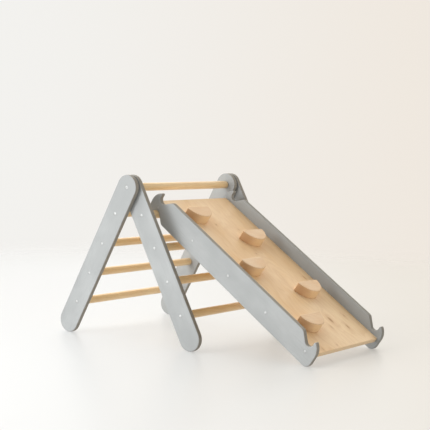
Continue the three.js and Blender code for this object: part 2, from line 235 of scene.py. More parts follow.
def sharpen(bm, limit_degrees=32):
    """Marks the edges that show as corners."""
    limit = math.radians(limit_degrees)
    for edge in bm.edges:
        edge.smooth = edge.is_manifold and edge.calc_face_angle(0) < limit


def to_mesh(name, bm):
    mesh = bpy.data.meshes.new(name)
    bm.to_mesh(mesh)
    bm.free()
    return mesh


def new_object(name, mesh):
    piece = bpy.data.objects.new(name, mesh)
    bpy.context.scene.collection.objects.link(piece)
    return piece


def merged(cutters):
    """Several bmesh cutters, which don't overlap, as one."""
    whole = bmesh.new()
    for cutter in cutters:
        part = to_mesh("cutter", cutter)
        whole.from_mesh(part)
        bpy.data.meshes.remove(part)
    return whole


def carved(name, bm, cutters):
    """The mesh of a bmesh body with its cutters taken out of it."""
    body = new_object(name, to_mesh(name, bm))
    for i, cutter in enumerate(cutters):
        tool = new_object(f"{name}_tool_{i}", to_mesh("cutter", cutter))
        boolean = body.modifiers.new("cut", "BOOLEAN")
        boolean.operation = "DIFFERENCE"
        boolean.solver = "EXACT"
        boolean.object = tool
    evaluated = body.evaluated_get(bpy.context.evaluated_depsgraph_get())
    mesh = bpy.data.meshes.new_from_object(evaluated)
    for boolean in body.modifiers:
        bpy.data.objects.remove(boolean.object)
    bpy.data.objects.remove(body)
    cleaned = bmesh.new()
    cleaned.from_mesh(mesh)
    bmesh.ops.remove_doubles(cleaned, verts=cleaned.verts, dist=1e-6)
    sharpen(cleaned)
    cleaned.to_mesh(mesh)
    cleaned.free()
    mesh.name = name
    return mesh


def place(node, mesh, matrix, material, suffix):
    """Puts a finished mesh where a CAD node is, on the node's body and in its material slot.

    The mesh itself takes the matrix's turn, so that the piece's box is a tight one. A mesh that several
    pieces share stays as it is.
    """
    piece = new_object(f"{node}_{suffix}", mesh)
    if node in SHARED_MESH:
        piece.matrix_world = matrix
    else:
        mesh.transform(matrix.to_3x3().to_4x4())
        piece.location = matrix.translation
    if mesh.materials:
        mesh.materials[0] = material
    else:
        mesh.materials.append(material)
    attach(piece, BODY_OF[node])
    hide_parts(node)


# ---------------------------------------------------------------- fasteners


def counterbore(x, z, outward, half_thickness, head_radius, head_depth, shank_radius):
    """Cutters for one fastener along Y, in a board whose middle plane is y = 0.

    outward is -1 or +1, the side that the head is on. The mouth of the bore is slightly flared.
    """
    face = half_thickness
    floor = face - head_depth - CLEARANCE
    radius = head_radius + CLEARANCE
    shank = shank_radius + CLEARANCE
    flare = 0.5 * MM
    profile = [
        (0, -face - MM),
        (shank, -face - MM),
        (shank, floor),
        (radius, floor),
        (radius, face - flare),
        (radius + 2 * flare, face + flare),
        (0, face + flare),
    ]
    bm = lathe([(r, outward * y) for r, y in profile], 40)
    bmesh.ops.translate(bm, verts=bm.verts, vec=(x, 0, z))
    return bm


def drilled(x, z, radius, from_y, to_y):
    """A plain round cutter along Y."""
    bm = lathe([(0, from_y), (radius, from_y), (radius, to_y), (0, to_y)], 32)
    bmesh.ops.translate(bm, verts=bm.verts, vec=(x, 0, z))
    return bm


def head_profile(radius, depth, shank, length):
    """A crowned head with its rim at y = 0, over a shank that ends in a point."""
    rim = 0.5 * MM
    crown = [(radius * math.sin(a), -CROWN * math.cos(a)) for a in (0, 0.4, 0.8, 1.1)]
    body = [
        (radius, rim),
        (radius, depth - rim),
        (radius - rim, depth),
        (shank, depth),
        (shank, length - 2 * shank),
        (0, length),
    ]
    return crown + body


def cross_recess(width, reach, depth):
    """A cross-shaped cutter in the top of a head, whose middle is at the origin."""
    w, r = width / 2, reach / 2
    upper_arm = [(w, w), (w, r), (-w, r), (-w, w)]
    left_arm = [(-r, w), (-r, -w), (-w, -w)]
    lower_and_right_arms = [(-w, -r), (w, -r), (w, -w), (r, -w), (r, w)]
    outline = upper_arm + left_arm + lower_and_right_arms
    return upright(slab(outline, depth + CROWN, 0, 0), depth)


def hex_recess(across, depth):
    """A six-sided cutter in the top of a head, whose middle is at the origin."""
    radius = across / math.sqrt(3)
    outline = arc(0, 0, radius, 0, 2 * math.pi, 6)
    return upright(slab(outline, depth + CROWN, 0, 0), depth)


def upright(bm, top):
    """Turns a slab's thickness from Z to Y, so that its top lies at y = top."""
    bmesh.ops.rotate(bm, verts=bm.verts, cent=(0, 0, 0), matrix=Matrix.Rotation(math.pi / 2, 3, "X"))
    bmesh.ops.translate(bm, verts=bm.verts, vec=(0, top, 0))
    return bm


def fastener_mesh(name, node, head_radius, head_depth, shank_radius, recess):
    """One fastener's mesh: its rim at y = 0, pointing along +Y, as long as the CAD node is."""
    low, high = local_box(node, ramp_matrix())
    length = max(high.y - low.y, high.z - low.z)
    profile = head_profile(head_radius, head_depth, shank_radius, length - CROWN)
    return carved(name, lathe(profile, 32), [recess])


# ---------------------------------------------------------------- material building


class Nodes:
    """A material's node tree, built up by short calls."""

    def __init__(self, name, turn=0.0):
        self.material = bpy.data.materials.new(name)
        self.material.use_nodes = True
        self.tree = self.material.node_tree
        self.tree.nodes.clear()
        place = self.tree.nodes.new("ShaderNodeTexCoord")
        self.here = self.turned_back(place.outputs["Object"], turn)
        self.normal = self.turned_back(place.outputs["Normal"], turn)

    def turned_back(self, vector, turn):
        """An object's own coordinates before its mesh was turned about Y."""
        if not turn:
            return vector
        node = self.tree.nodes.new("ShaderNodeVectorRotate")
        node.rotation_type = "Y_AXIS"
        self.feed(node.inputs["Vector"], vector)
        node.inputs["Angle"].default_value = -turn
        return node.outputs[0]

    def feed(self, socket, value):
        if isinstance(value, bpy.types.NodeSocket):
            self.tree.links.new(value, socket)
        else:
            socket.default_value = value

    def maths(self, operation, first, second=0.0, third=0.0):
        node = self.tree.nodes.new("ShaderNodeMath")
        node.operation = operation
        for socket, value in zip(node.inputs, (first, second, third)):
            self.feed(socket, value)
        return node.outputs[0]

    def vector(self, operation, first, second):
        node = self.tree.nodes.new("ShaderNodeVectorMath")
        node.operation = operation
        self.feed(node.inputs[0], first)
        self.feed(node.inputs[1], second)
        return node.outputs["Value"] if operation in ("LENGTH", "DOT_PRODUCT") else node.outputs["Vector"]

    def split(self, vector):
        node = self.tree.nodes.new("ShaderNodeSeparateXYZ")
        self.feed(node.inputs[0], vector)
        return node.outputs

    def join(self, x, y, z):
        node = self.tree.nodes.new("ShaderNodeCombineXYZ")
        for socket, value in zip(node.inputs, (x, y, z)):
            self.feed(socket, value)
        return node.outputs[0]

    def noise(self, vector, stretch, detail=2.0, roughness=0.5, distortion=0.0):
        """Noise between 0 and 1. stretch is how many cycles a metre holds along each axis."""
        node = self.tree.nodes.new("ShaderNodeTexNoise")
        self.feed(node.inputs["Vector"], self.vector("MULTIPLY", vector, stretch))
        node.inputs["Scale"].default_value = 1.0
        node.inputs["Detail"].default_value = detail
        node.inputs["Roughness"].default_value = roughness
        node.inputs["Distortion"].default_value = distortion
        return node.outputs["Fac"]

    def spread(self, value, low, high, to_low=0.0, to_high=1.0):
        """Smoothly maps low..high to to_low..to_high, and holds it beyond."""
        node = self.tree.nodes.new("ShaderNodeMapRange")
        node.interpolation_type = "SMOOTHSTEP"
        self.feed(node.inputs["Value"], value)
        for socket, number in zip(("From Min", "From Max", "To Min", "To Max"), (low, high, to_low, to_high)):
            node.inputs[socket].default_value = number
        return node.outputs["Result"]

    def blend(self, first, second, factor, kind="MIX"):
        node = self.tree.nodes.new("ShaderNodeMix")
        node.data_type = "RGBA"
        node.blend_type = kind
        self.feed(node.inputs["Factor"], factor)
        self.feed(node.inputs[6], first)
        self.feed(node.inputs[7], second)
        return node.outputs[2]

    def finish(self, colour, roughness, relief=None, metallic=0.0, coat=0.0):
        """Ends the tree with a Principled shader. relief is a height in metres."""
        shader = self.tree.nodes.new("ShaderNodeBsdfPrincipled")
        self.feed(shader.inputs["Base Color"], colour)
        self.feed(shader.inputs["Roughness"], roughness)
        shader.inputs["Metallic"].default_value = metallic
        shader.inputs["Coat Weight"].default_value = coat
        shader.inputs["Coat Roughness"].default_value = 0.25
        if relief is not None:
            bump = self.tree.nodes.new("ShaderNodeBump")
            bump.inputs["Strength"].default_value = 1.0
            bump.inputs["Distance"].default_value = 1.0
            self.feed(bump.inputs["Height"], relief)
            self.feed(shader.inputs["Normal"], bump.outputs["Normal"])
        output = self.tree.nodes.new("ShaderNodeOutputMaterial")
        self.tree.links.new(shader.outputs[0], output.inputs["Surface"])
        return self.material


def srgb(red, green, blue):
    """A colour given as display values from 0 to 255, as the linear colour that a socket holds."""
    def linear(value):
        value /= 255
        return value / 12.92 if value <= 0.04045 else ((value + 0.055) / 1.055) ** 2.4
    return (linear(red), linear(green), linear(blue), 1.0)


def seed_shift(seed):
    """Where a piece sits in the endless figure, so that no two boards look alike."""
    return (seed * 1.73, seed * 2.31, seed * 0.97)


def along_grain(n, axis, seed):
    """Coordinates in metres whose first axis runs along the grain, from an object's X, Y or Z."""
    x, y, z = n.split(n.here)
    ordered = {"X": (x, y, z), "Y": (y, x, z), "Z": (z, x, y)}[axis]
    return n.vector("ADD", n.join(*ordered), seed_shift(seed))


PAINT = srgb(173, 175, 175)
PAINT_SHADE = srgb(158, 160, 160)
EDGE_PALE = srgb(161, 157, 149)
EDGE_DARK = srgb(130, 125, 115)
RUB = srgb(140, 131, 117)
PAINTED_BOUNCE_OFFSET = (0.96, 1.0, 1.04, 1)  # painted light: the far board, on which the panel's warm colour falls most, is painted cooler to offset that light


def painted_plywood(name, axis, seed, turn, tint=(1, 1, 1, 1)):
    """Satin grey paint on plywood: smooth faces that show a little grain, and darker layered edges."""
    n = Nodes(name, turn)
    grain = along_grain(n, axis, seed)
    facing = n.maths("ABSOLUTE", n.split(n.normal)[1])
    face = n.spread(facing, 0.45, 0.8)

    cloud = n.noise(grain, (5, 9, 9), detail=3)
    fibre = n.noise(grain, (22, 520, 520), detail=3, roughness=0.6)
    roller = n.noise(grain, (1100, 1100, 1100), detail=1)
    face_colour = n.blend(PAINT, PAINT_SHADE, n.spread(cloud, 0.3, 0.7))
    face_colour = n.blend(face_colour, PAINT_SHADE, n.spread(fibre, 0.45, 0.75, 0, 0.8))

    across = n.split(n.here)[1]
    layer = n.maths("SINE", n.maths("MULTIPLY", across, math.pi / VENEER))
    wander = n.noise(grain, (40, 300, 300), detail=3, roughness=0.6)
    layer_tone = n.maths("ADD", n.maths("MULTIPLY", layer, 0.35), wander)
    edge_colour = n.blend(EDGE_DARK, EDGE_PALE, n.spread(layer_tone, 0.2, 0.85))

    colour = n.blend(edge_colour, face_colour, face)
    # tint paints in light: for the far board it is a cooler colour that offsets the warm light from the panel
    colour = n.blend(colour, tint, 1.0, "MULTIPLY")
    arris = n.maths("MULTIPLY", n.spread(facing, 0.3, 0.6), n.spread(facing, 0.75, 0.97, 1, 0))
    worn = n.maths("MULTIPLY", arris, n.spread(n.noise(grain, (60, 90, 90), detail=4), 0.56, 0.66, 0, 0.7))
    colour = n.blend(colour, RUB, worn)

    roughness = n.maths("ADD", n.spread(face, 0, 1, 0.62, 0.46), n.maths("MULTIPLY", fibre, 0.1))
    grain_relief = n.maths("MULTIPLY", fibre, 0.03 * MM)
    roller_relief = n.maths("MULTIPLY", roller, 0.012 * MM)
    relief = n.maths("ADD", grain_relief, roller_relief)
    layer_relief = n.maths("MULTIPLY", n.maths("SUBTRACT", 1.0, face), n.maths("MULTIPLY", layer, 0.04 * MM))
    return n.finish(colour, roughness, n.maths("ADD", relief, layer_relief))


def fine_grain(n, grain, colour, shade, strength):
    """Fibres and pores that every wood here has. Returns the colour and the relief."""
    fibre = n.noise(grain, (30, 900, 900), detail=3, roughness=0.65)
    pore = n.noise(grain, (120, 1500, 1500), detail=1)
    colour = n.blend(colour, shade, n.spread(fibre, 0.45, 0.85, 0, strength))
    colour = n.blend(colour, shade, n.spread(pore, 0.66, 0.78, 0, strength))
    relief = n.maths("MULTIPLY", fibre, 0.03 * MM)
    pits = n.maths("MULTIPLY", n.spread(pore, 0.66, 0.78), -0.03 * MM)
    return colour, n.maths("ADD", relief, pits), fibre


def growth_rings(n, grain, pith, spacing):
    """Growth rings round a pith at (across, through), from 0 in early wood to 1 in late wood."""
    along, across, through = n.split(grain)
    bend = n.maths("MULTIPLY", n.noise(grain, (2.5, 8, 8), detail=2), 14 * MM)
    from_pith = n.join(0.0, n.maths("SUBTRACT", across, pith[0]), n.maths("SUBTRACT", through, pith[1]))
    radial = n.vector("LENGTH", from_pith, (0, 0, 0))
    phase = n.maths("FRACT", n.maths("DIVIDE", n.maths("ADD", radial, bend), spacing))
    rise = n.spread(phase, 0.25, 0.9)
    return n.maths("MULTIPLY", rise, n.spread(phase, 0.92, 1.0, 1, 0))


RUNG_PALE = srgb(248, 221, 175)
RUNG_MID = srgb(241, 208, 157)
RUNG_DARK = srgb(212, 170, 118)


def dowel_wood(name, seed):
    """Straight-grained hardwood along Y with a thin coat of oil."""
    n = Nodes(name)
    grain = along_grain(n, "Y", seed)
    shift = seed_shift(seed)
    rings = growth_rings(n, grain, (shift[1] + 0.07, shift[2] - 0.03 - 0.01 * (seed % 3)), 2.6 * MM)
    tone = n.noise(grain, (3, 30, 30), detail=2)
    colour = n.blend(RUNG_PALE, RUNG_MID, n.spread(tone, 0.3, 0.7))
    colour = n.blend(colour, RUNG_DARK, n.maths("MULTIPLY", rings, 0.3))
    colour, relief, fibre = fine_grain(n, grain, colour, RUNG_DARK, 0.4)
    fleck = n.noise(grain, (260, 1300, 400), detail=0)
    colour = n.blend(colour, RUNG_DARK, n.spread(fleck, 0.7, 0.78, 0, 0.35))
    return n.finish(colour, n.spread(fibre, 0.3, 0.8, 0.36, 0.5), relief, coat=0.15)


BIRCH_PALE = srgb(242, 215, 176)
BIRCH_MID = srgb(231, 198, 154)
BIRCH_DARK = srgb(202, 158, 108)
BIRCH_GOLD = srgb(226, 186, 128)
KNOT = srgb(160, 110, 62)
GLUE = srgb(120, 84, 54)

# Each knot: down the slope and across, then its length and width, in millimetres, and how dark it is.
KNOTS = [
    (300, 58, 42, 17, 0.85),
    (347, 113, 30, 10, 0.7),
    (330, 22, 34, 14, 0.35),
    (292, 157, 22, 8, 0.5),
    (73, 164, 34, 10, 0.55),
    (-268, -21, 9, 7, 0.8),
    (-86, 34, 10, 7, 0.55),
    (-230, 79, 16, 9, 0.3),
    (412, -47, 12, 7, 0.45),
    (415, -142, 26, 8, 0.5),
]


def knot_masks(n, grain):
    """How strongly the knots' cores, and the darker wood round them, show: each from 0 to 1."""
    wobble = n.noise(grain, (30, 60, 60), detail=2)
    cores, halos = 0.0, 0.0
    for x, y, length, width, darkness in KNOTS:
        away = n.vector("SUBTRACT", n.here, (x * MM, y * MM, 0))
        scaled = n.vector("MULTIPLY", away, (2 / (length * MM), 2 / (width * MM), 0))
        reach = n.maths("ADD", n.vector("LENGTH", scaled, (0, 0, 0)), n.maths("MULTIPLY", wobble, 0.7))
        cores = n.maths("MAXIMUM", cores, n.spread(reach, 0.5, 1.5, darkness, 0))
        halos = n.maths("MAXIMUM", halos, n.spread(reach, 0.8, 4.0, darkness, 0))
    return cores, halos


def layered_rim(n, grain):
    """The layers and dark glue lines that show round the panel's rim."""
    layer = n.maths("SINE", n.maths("MULTIPLY", n.split(n.here)[2], math.pi / VENEER))
    rim_noise = n.noise(grain, (500, 700, 700), detail=2)
    layer_tone = n.maths("ADD", n.maths("MULTIPLY", layer, 0.45), rim_noise)
    colour = n.blend(BIRCH_MID, BIRCH_PALE, n.spread(layer_tone, 0.25, 0.8))
    glue = n.spread(n.maths("ABSOLUTE", layer), 0.0, 0.16, 0.4, 0)
    return n.blend(colour, GLUE, glue)


def birch_panel(name, turn):
    """Birch plywood with its grain down the slope: soft flames, fibres, a few knots and layered ends."""
    n = Nodes(name, turn)
    grain = along_grain(n, "X", 1)
    cores, halos = knot_masks(n, grain)
    flame = n.noise(grain, (1.6, 9, 9), detail=2, distortion=0.4)
    flame = n.maths("ADD", flame, n.maths("MULTIPLY", halos, 0.1))
    band = n.maths("FRACT", n.maths("MULTIPLY", flame, 22.0))
    line = n.maths("MULTIPLY", n.spread(band, 0.3, 0.9), n.spread(band, 0.92, 1.0, 1, 0))
    cloud = n.noise(grain, (1.3, 5, 5), detail=3)
    stripe = n.noise(grain, (2, 60, 60), detail=3, roughness=0.6)

    golden = n.noise(grain, (4, 12, 12), detail=3)
    colour = n.blend(BIRCH_PALE, BIRCH_MID, n.spread(cloud, 0.35, 0.65))
    colour = n.blend(colour, BIRCH_GOLD, n.spread(golden, 0.48, 0.68, 0, 0.5))
    colour = n.blend(colour, BIRCH_DARK, n.maths("MULTIPLY", line, 0.2))
    colour = n.blend(colour, BIRCH_DARK, n.spread(stripe, 0.5, 0.8, 0, 0.2))
    colour, relief, fibre = fine_grain(n, grain, colour, BIRCH_DARK, 0.35)
    colour = n.blend(colour, BIRCH_DARK, n.maths("MULTIPLY", halos, 0.55))
    colour = n.blend(colour, KNOT, cores)

    facing = n.maths("ABSOLUTE", n.split(n.normal)[2])
    colour = n.blend(layered_rim(n, grain), colour, n.spread(facing, 0.4, 0.8))
    return n.finish(colour, n.spread(fibre, 0.3, 0.8, 0.42, 0.56), relief, coat=0.08)


BLOCK_PALE = srgb(232, 206, 172)
BLOCK_MID = srgb(226, 192, 150)
BLOCK_DARK = srgb(188, 138, 92)
# the blocks' upright sides: more orange than the top, and paler than it, which is painted light on the sides
BLOCK_SIDE_ORANGE_AND_PAINTED_LIGHT = srgb(255, 222, 176)
BLOCK_END = srgb(172, 118, 76)


def block_wood(name, seed, turn):
    """Solid wood whose grain runs along the straight edge, darker where the curve cuts across it."""
    n = Nodes(name, turn)
    grain = along_grain(n, "Y", seed)
    shift = seed_shift(seed)
    rings = growth_rings(n, grain, (shift[1] - 0.05, shift[2] - 0.06 - 0.012 * (seed % 3)), 3.4 * MM)
    cloud = n.noise(grain, (6, 14, 14), detail=3)
    colour = n.blend(BLOCK_PALE, BLOCK_MID, n.spread(cloud, 0.35, 0.65))
    colour = n.blend(colour, BLOCK_DARK, n.maths("MULTIPLY", rings, 0.35))
    colour, relief, fibre = fine_grain(n, grain, colour, BLOCK_DARK, 0.35)
    facing = n.split(n.normal)
    # painted light: the upright sides are mixed towards a colour paler and more orange than the top
    side = n.spread(n.maths("ABSOLUTE", facing[2]), 0.2, 0.7, 0.8, 0)
    colour = n.blend(colour, BLOCK_SIDE_ORANGE_AND_PAINTED_LIGHT, n.maths("MULTIPLY", side, n.spread(rings, 0, 1, 1, 0.6)))
    end_grain = n.spread(n.maths("ABSOLUTE", facing[1]), 0.3, 0.95, 0, 0.7)
    colour = n.blend(colour, BLOCK_END, n.maths("MULTIPLY", side, end_grain))
    return n.finish(colour, n.spread(fibre, 0.3, 0.8, 0.42, 0.56), relief, coat=0.05)


def turned_metal(name, colour, shade, roughness, metallic=1.0):
    """Metal with faint turning marks round Y and an uneven polish. Passivated zinc is less metallic."""
    n = Nodes(name)
    x, y, z = n.split(n.here)
    radius = n.vector("LENGTH", n.join(x, 0.0, z), (0, 0, 0))
    marks = n.noise(n.join(radius, y, 0.0), (3500, 3500, 0), detail=1)
    cloud = n.noise(n.here, (300, 300, 300), detail=3)
    mixed = n.blend(colour, shade, n.spread(cloud, 0.35, 0.75))
    polish = n.spread(marks, 0.3, 0.7, roughness - 0.05, roughness + 0.1)
    return n.finish(mixed, polish, n.maths("MULTIPLY", marks, 0.004 * MM), metallic=metallic)


def moulded_nylon(name):
    """Dark nylon with the fine grain of its mould."""
    n = Nodes(name)
    skin = n.noise(n.here, (900, 900, 900), detail=2)
    cloud = n.noise(n.here, (60, 60, 60), detail=2)
    colour = n.blend(srgb(74, 74, 72), srgb(60, 60, 59), n.spread(cloud, 0.3, 0.7))
    return n.finish(colour, n.spread(skin, 0.3, 0.7, 0.5, 0.62), n.maths("MULTIPLY", skin, 0.02 * MM))


# ---------------------------------------------------------------- ladders


def leg_outline(radius, span):
    """A leg that hangs from (0, 0), counter-clockwise in its own XZ plane."""
    return arc(0, 0, radius, 0, math.pi, 40) + arc(0, -span, radius, math.pi, 2 * math.pi, 40)


def groove_cutter(pin, outward, half_thickness):
    """The curved groove in an outer leg's inward face. pin is where the other ladder's pin rests."""
    orbit = math.hypot(pin.x, pin.z)
    rest = math.atan2(pin.z, pin.x)
    pin_low, pin_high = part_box("ramp_ladder_stop_pin")
    half = (pin_high.z - pin_low.z) / 2 + CLEARANCE
    slack = CLEARANCE / orbit
    turn = FOLD if outward < 0 else -FOLD
    start, end = sorted((rest + math.copysign(slack, turn), rest - turn - math.copysign(slack, turn)))
    outer = arc(0, 0, orbit + half, start, end, 20)
    far_cap = arc(orbit * math.cos(end), orbit * math.sin(end), half, end, end + math.pi, 10)
    inner = arc(0, 0, orbit - half, end, start, 20)
    cap_start = start + math.pi
    near_cap = arc(orbit * math.cos(start), orbit * math.sin(start), half, cap_start, cap_start + math.pi, 10)
    depth = GROOVE_DEPTH + MM
    bm = upright(slab(outer + far_cap + inner + near_cap, depth, 0, 0), 0)
    low = half_thickness - GROOVE_DEPTH if outward < 0 else -half_thickness - MM
    bmesh.ops.translate(bm, verts=bm.verts, vec=(0, low + depth, 0))
    return bm


def pivot_cutters(ladder, kind, matrix, y, half):
    """What a leg loses to the pivot bolt, and to the stop pin or the groove that it runs in."""
    outward = 1 if y > 0 else -1
    if kind == "outer":
        other = "ramp_ladder" if ladder == "back_ladder" else "back_ladder"
        pin = matrix.inverted() @ middle(other + "_stop_pin")
        bolt_bore = counterbore(0, 0, outward, half, BOLT_HEAD_RADIUS, BOLT_HEAD_DEPTH, BOLT_RADIUS)
        return [bolt_bore, groove_cutter(pin, outward, half)]
    pin = matrix.inverted() @ middle(ladder + "_stop_pin")
    pin_low, pin_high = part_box(ladder + "_stop_pin")
    pin_radius = (pin_high.z - pin_low.z) / 2
    pin_start = (pin_low.y if outward > 0 else -pin_high.y) - outward * y
    ends = sorted((outward * (pin_start - CLEARANCE), outward * (half + MM)))
    pin_bore = drilled(pin.x, pin.z, pin_radius + CLEARANCE, *ends)
    return [pin_bore, drilled(0, 0, BOLT_RADIUS + CLEARANCE, -half - MM, half + MM)]


def make_leg(ladder, kind, seed):
    node = f"{ladder}_{kind}_leg"
    low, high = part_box(node)
    matrix = ladder_matrix(ladder)
    radius = high.z - PIVOT.z
    lean = matrix.to_euler().y
    span = (PIVOT.z - radius - low.z) / math.cos(lean)
    y = (low.y + high.y) / 2
    half = (high.y - low.y) / 2
    outward = 1 if y > 0 else -1

    body = upright(slab(leg_outline(radius, span), 2 * half, RIM, RIM), half)
    cutters = []
    for rung in numbered(ladder + "_rung"):
        depth = (middle(rung) - PIVOT).length
        cutters.append(counterbore(0, -depth, outward, half, HEAD_RADIUS, HEAD_DEPTH, SHANK_RADIUS))
    cutters += pivot_cutters(ladder, kind, matrix, y, half)
    mesh = carved(node + "_board", body, [merged(cutters)])
    paint = painted_plywood(f"{node}_paint", "Z", seed, lean)
    place(node, mesh, Matrix.Translation((0, y, 0)) @ matrix, paint, "board")


def make_dowel(node, bores, seed):
    """A turned rung. bores are (radius, depth) pairs from the deepest and narrowest to the mouth."""
    low, high = depth_range(node)
    half = (high - low) / 2
    end = [(0, half - bores[0][1])]
    for i, (radius, depth) in enumerate(bores):
        next_depth = bores[i + 1][1] if i + 1 < len(bores) else 0
        end.append((radius, half - depth))
        end.append((radius, half - next_depth))
    end.append((RUNG_RADIUS - DOWEL_RIM, half))
    end.append((RUNG_RADIUS - 0.3 * DOWEL_RIM, half - 0.3 * DOWEL_RIM))
    end.append((RUNG_RADIUS, half - DOWEL_RIM))
    profile = [(radius, -y) for radius, y in end] + list(reversed(end))
    bm = lathe(profile, 64)
    sharpen(bm)
    mesh = to_mesh(node + "_dowel", bm)
    place(node, mesh, Matrix.Translation(middle(node)), dowel_wood(node + "_wood", seed), "dowel")


# ---------------------------------------------------------------- ramp


def hook_points(length, height):
    """The hook at the upper edge's +X end, from the straight edge round to the board's end."""
    notch_x = length / 2 - NOTCH_INSET
    seat = height / 2 - NOTCH_DROP
    horn_x = length / 2 - HORN_RADIUS
    horn_z = HORN_RADIUS - height / 2
    enter = 1.5 * math.pi - LEAD_IN
    seat_start_x = notch_x + NOTCH_RADIUS * math.cos(enter)
    seat_start_z = seat + NOTCH_RADIUS * math.sin(enter)
    corner_x = seat_start_x - (height / 2 - seat_start_z) / math.tan(LEAD_IN)
    fillet_x = corner_x - LEAD_IN_FILLET * math.tan(LEAD_IN / 2)
    tip_x = notch_x + NOTCH_RADIUS + HORN_TIP_RADIUS
    tip_z = horn_z + math.sqrt((HORN_RADIUS - HORN_TIP_RADIUS) ** 2 - (tip_x - horn_x) ** 2)
    tip_angle = math.atan2(tip_z - horn_z, tip_x - horn_x)
    fillet_z = height / 2 - LEAD_IN_FILLET
    points = arc(fillet_x, fillet_z, LEAD_IN_FILLET, math.pi / 2, math.pi / 2 - LEAD_IN, 10)
    points += arc(notch_x, seat, NOTCH_RADIUS, enter, 2 * math.pi, 28)
    points += arc(tip_x, tip_z, HORN_TIP_RADIUS, math.pi, tip_angle, 8)
    points += arc(horn_x, horn_z, HORN_RADIUS, tip_angle, 0, 24)
    return points


def side_outline(length, height):
    """A side board about its own middle: hooks on both edges at the upper end, one at the lower."""
    hook = hook_points(length, height)
    foot = arc(length / 2 - FOOT_RADIUS, FOOT_RADIUS - height / 2, FOOT_RADIUS, 0, -math.pi / 2, 10)
    upper_bottom = [(-x, -z) for x, z in hook]
    upper_top = [(-x, z) for x, z in reversed(hook)]
    return list(reversed(upper_top + hook + foot + upper_bottom))


def make_side(node, screws, outward, seed, tint=(1, 1, 1, 1)):
    matrix = ramp_matrix()
    low, high = local_box(node, matrix)
    y = (low.y + high.y) / 2
    half = (high.y - low.y) / 2
    centre_z = (low.z + high.z) / 2
    outline = side_outline(high.x - low.x, high.z - low.z)
    body = upright(slab(outline, 2 * half, RIM, RIM), half)
    cutters = []
    for screw in numbered(screws):
        at = matrix.inverted() @ middle(screw)
        bore = counterbore(at.x, at.z - centre_z, outward, half, HEAD_RADIUS, HEAD_DEPTH, SHANK_RADIUS)
        cutters.append(bore)
    mesh = carved(node + "_board", body, [merged(cutters)])
    paint = painted_plywood(node + "_paint", "X", seed, matrix.to_euler().y, tint)
    place(node, mesh, matrix @ Matrix.Translation((0, y, centre_z)), paint, "board")


def rectangle(length, width, corner):
    points = []
    for i, (sign_x, sign_y) in enumerate(((1, 1), (-1, 1), (-1, -1), (1, -1))):
        centre = (sign_x * (length / 2 - corner), sign_y * (width / 2 - corner))
        points += arc(*centre, corner, i * math.pi / 2, (i + 1) * math.pi / 2, 4)
    return points


def block_screw_bores(matrix, thickness):
    """Cutters through the panel, each with a wider mouth underneath for a block screw's head."""
    radius = BLOCK_HEAD_RADIUS + CLEARANCE
    shank = BLOCK_SHANK_RADIUS + CLEARANCE
    floor = HEAD_DEPTH + CLEARANCE - thickness / 2
    profile = [
        (0, -thickness / 2 - MM),
        (radius + MM, -thickness / 2 - MM),
        (radius, -thickness / 2 + 0.3 * MM),
        (radius, floor),
        (shank, floor),
        (shank, thickness / 2 + MM),
        (0, thickness / 2 + MM),
    ]
    bores = []
    for screw in numbered("block_screw"):
        at = matrix.inverted() @ middle(screw)
        bm = lathe(profile, 32)
        bmesh.ops.rotate(bm, verts=bm.verts, cent=(0, 0, 0), matrix=Matrix.Rotation(math.pi / 2, 3, "X"))
        bmesh.ops.translate(bm, verts=bm.verts, vec=(at.x, at.y, 0))
        bores.append(bm)
    return bores


def side_screw_pilots(matrix, low, high):
    """Cutters in the panel's long edges for the side boards' screws."""
    pilots = []
    for screws, side in (("ramp_near_screw", -1), ("ramp_far_screw", 1)):
        for screw in numbered(screws):
            at = matrix.inverted() @ middle(screw)
            screw_low, screw_high = local_box(screw, matrix)
            tip = min(abs(screw_low.y), abs(screw_high.y)) - 2 * MM
            ends = sorted((side * tip, side * (high.y + MM)))
            pilots.append(drilled(at.x, at.z - (low.z + high.z) / 2, SHANK_RADIUS + CLEARANCE, *ends))
    return pilots


def make_panel():
    node = "ramp_panel"
    matrix = ramp_matrix()
    low, high = local_box(node, matrix)
    thickness = high.z - low.z
    body = slab(rectangle(high.x - low.x, high.y - low.y, PANEL_RIM), thickness, PANEL_RIM, PANEL_RIM)
    bmesh.ops.translate(body, verts=body.verts, vec=(0, 0, -thickness / 2))
    bores = merged(block_screw_bores(matrix, thickness))
    pilots = merged(side_screw_pilots(matrix, low, high))
    mesh = carved(node + "_plywood", body, [bores, pilots])
    centre = matrix @ Matrix.Translation((low + high) / 2)
    place(node, mesh, centre, birch_panel("panel_birch", matrix.to_euler().y), "plywood")


def block_outline(radius):
    """A half disc with its flat edge at x = 0, its curve towards +X and softened tips."""
    fillet = BLOCK_TIP_FILLET
    tip_y = math.sqrt((radius - fillet) ** 2 - fillet**2)
    tip_angle = math.atan2(tip_y, fillet)
    points = arc(fillet, -tip_y, fillet, math.pi, 2 * math.pi - tip_angle, 10)
    points += arc(0, 0, radius, -tip_angle, tip_angle, 48)
    points += arc(fillet, tip_y, fillet, tip_angle, math.pi, 10)
    return points


def make_block(node, seed):
    matrix = ramp_matrix()
    low, high = local_box(node, matrix)
    radius = high.x - low.x
    height = high.z - low.z
    body = slab(block_outline(radius), height, 0.6 * MM, BLOCK_RIM)
    bore = BLOCK_SHANK_RADIUS + CLEARANCE
    pilot = lathe([(0, -MM), (bore, -MM), (bore, BLOCK_PILOT_DEPTH), (0, BLOCK_PILOT_POINT)], 24)
    bmesh.ops.rotate(pilot, verts=pilot.verts, cent=(0, 0, 0), matrix=Matrix.Rotation(math.pi / 2, 3, "X"))
    bmesh.ops.translate(pilot, verts=pilot.verts, vec=(radius / 2, 0, 0))
    mesh = carved(node + "_solid", body, [pilot])
    corner = Matrix.Translation((low.x, (low.y + high.y) / 2, low.z))
    wood = block_wood(node + "_wood", seed, matrix.to_euler().y)
    place(node, mesh, matrix @ corner, wood, "solid")


# ---------------------------------------------------------------- pieces


